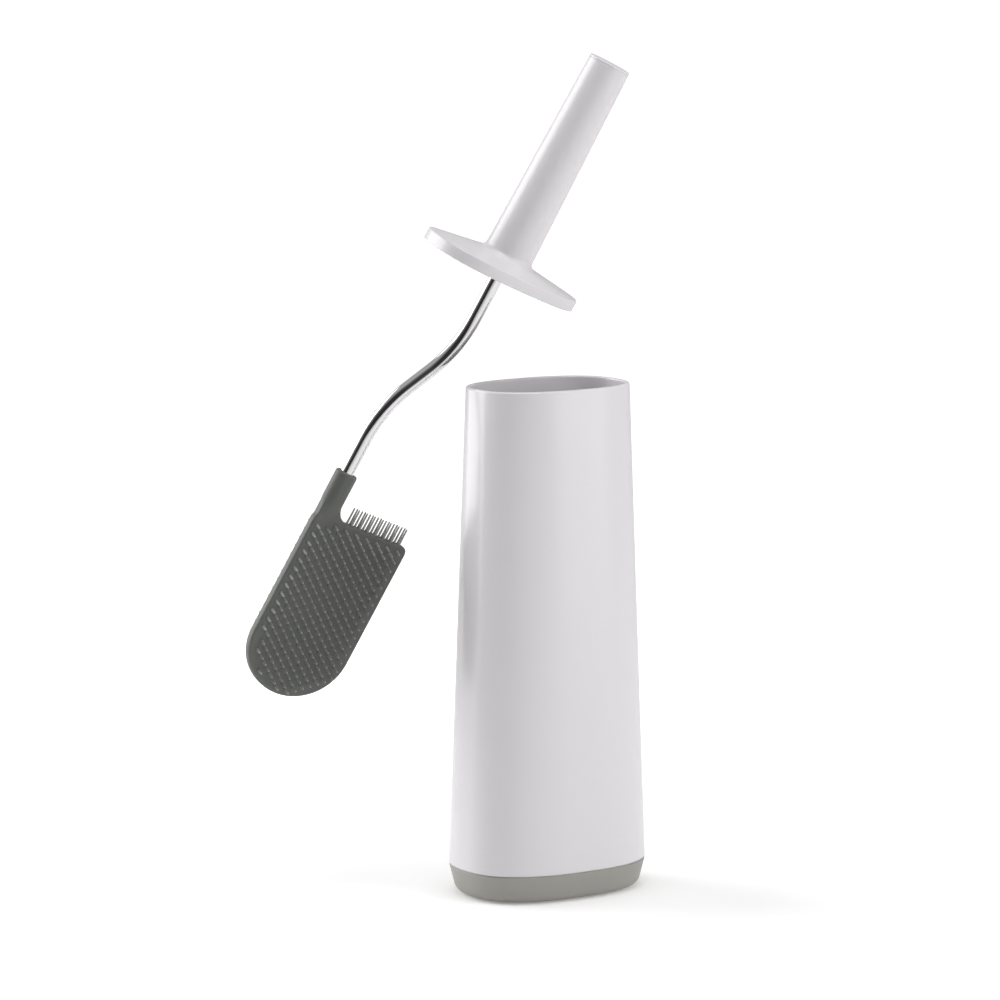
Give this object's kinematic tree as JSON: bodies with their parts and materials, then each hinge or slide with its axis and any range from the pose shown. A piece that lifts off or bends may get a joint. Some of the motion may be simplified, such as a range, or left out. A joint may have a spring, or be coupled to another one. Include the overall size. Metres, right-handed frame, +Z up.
{
  "type": "toilet brush holder",
  "caption": "Tapered oval toilet brush holder with a base band, and its lidded brush with an S-bent rod and a flat bristled rubber head, hanging beside it.",
  "frame": {"origin": "centre of the foot pad's lower face, on the surface the holder stands on", "axes": "+Z up; X along the holder's long axis; the front of the brush head faces mostly -Y"},
  "size_m": [0.213, 0.1358, 0.4841],
  "materials": {
    "white_gloss": "glossy moulded plastic",
    "base_grey": "satin moulded plastic",
    "pad_rubber": "matte",
    "hard_insert": "as moulded",
    "pin_steel": "ground",
    "rod_chrome": "polished",
    "head_rubber": "satin"
  },
  "bodies": {
    "holder": {"outer_shell": "white_gloss", "base_cup": "base_grey", "foot_pad": "pad_rubber"},
    "brush": {"handle_shell": "white_gloss", "handle_cap": "white_gloss", "lid_plate": "white_gloss", "rod_insert": "hard_insert", "insert_pin": "pin_steel", "rod": "rod_chrome", "neck_socket": "hard_insert", "head_neck": "head_rubber", "upper_bristles": "head_rubber", "shoulder_bristles": "head_rubber"},
    "head": {"head_blade": "head_rubber", "front_bristles": "head_rubber", "back_bristles": "head_rubber"}
  },
  "joints": [
    {"name": "brush_lift", "type": "slide", "parent": "holder", "child": "brush", "axis": [0, 0, 1], "range_m": [0, 0.2]},
    {"name": "head_flex", "type": "hinge", "parent": "brush", "child": "head", "pos_m": [-0.09462, 0.06118, 0.20051], "axis": [0.9184, 0.0532, -0.392], "range_deg": [-15, 15], "stiffness_Nm_per_rad": 1}
  ]
}
